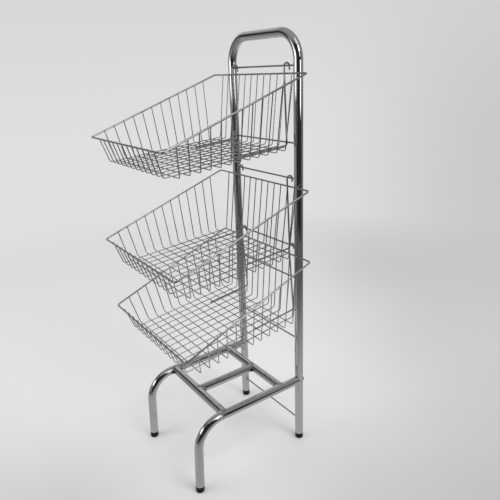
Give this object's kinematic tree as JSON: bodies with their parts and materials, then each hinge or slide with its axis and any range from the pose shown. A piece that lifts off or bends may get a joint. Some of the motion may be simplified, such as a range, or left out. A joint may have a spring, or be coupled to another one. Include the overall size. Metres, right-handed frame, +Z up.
{
  "type": "wire basket stand",
  "caption": "Free-standing display stand: a bent chromed tube frame with cross rods, and sloping wire baskets that hang from the rods by hooks and lift off.",
  "frame": {"origin": "on the floor, under the middle of the stand with its baskets on it", "axes": "+Z up; -Y is the front, where the baskets reach out; +X is to the right seen from the front"},
  "size_m": [0.4438, 0.4433, 1.2267],
  "materials": {
    "frame_chrome": "bright chromed steel tube, lightly worn",
    "rod_chrome": "chromed steel rod, dull at the welds",
    "wire_chrome": "chromed steel wire, dull at the welds",
    "fastener_plating": "plated steel",
    "insert_steel": "plain turned steel, out of sight",
    "foot_plastic": "black moulded plastic, scuffed"
  },
  "bodies": {
    "stand": {"upright_hoop": "frame_chrome", "left_side_rail": "frame_chrome", "right_side_rail": "frame_chrome", "front_cross_tube": "frame_chrome", "rear_cross_tube": "frame_chrome", "centre_tube": "frame_chrome", "top_hook_rod": "rod_chrome", "top_support_rod": "rod_chrome", "middle_hook_rod": "rod_chrome", "middle_support_rod": "rod_chrome", "lower_hook_rod": "rod_chrome", "lower_support_rod": "rod_chrome", "low_stretcher_rod": "rod_chrome", "front_left_foot": "foot_plastic", "front_right_foot": "foot_plastic", "rear_left_foot": "foot_plastic", "rear_right_foot": "foot_plastic", "rail_bolts": "fastener_plating", "rail_washers": "fastener_plating", "rail_inserts": "insert_steel"},
    "top_basket": {"top_basket_rim": "wire_chrome", "top_basket_long_wires": "wire_chrome", "top_basket_cross_wires": "wire_chrome", "top_basket_left_hanger": "wire_chrome", "top_basket_right_hanger": "wire_chrome"},
    "middle_basket": {"middle_basket_rim": "wire_chrome", "middle_basket_long_wires": "wire_chrome", "middle_basket_cross_wires": "wire_chrome", "middle_basket_left_hanger": "wire_chrome", "middle_basket_right_hanger": "wire_chrome"},
    "bottom_basket": {"bottom_basket_rim": "wire_chrome", "bottom_basket_long_wires": "wire_chrome", "bottom_basket_cross_wires": "wire_chrome", "bottom_basket_left_hanger": "wire_chrome", "bottom_basket_right_hanger": "wire_chrome"}
  },
  "joints": [
    {"name": "top_basket_lift", "type": "slide", "parent": "stand", "child": "top_basket", "axis": [0, -0.0357, 0.9994], "range_m": [0, 0.018]},
    {"name": "middle_basket_lift", "type": "slide", "parent": "stand", "child": "middle_basket", "axis": [0, -0.0357, 0.9994], "range_m": [0, 0.018]},
    {"name": "bottom_basket_lift", "type": "slide", "parent": "stand", "child": "bottom_basket", "axis": [0, -0.0732, 0.9973], "range_m": [0, 0.005]}
  ]
}
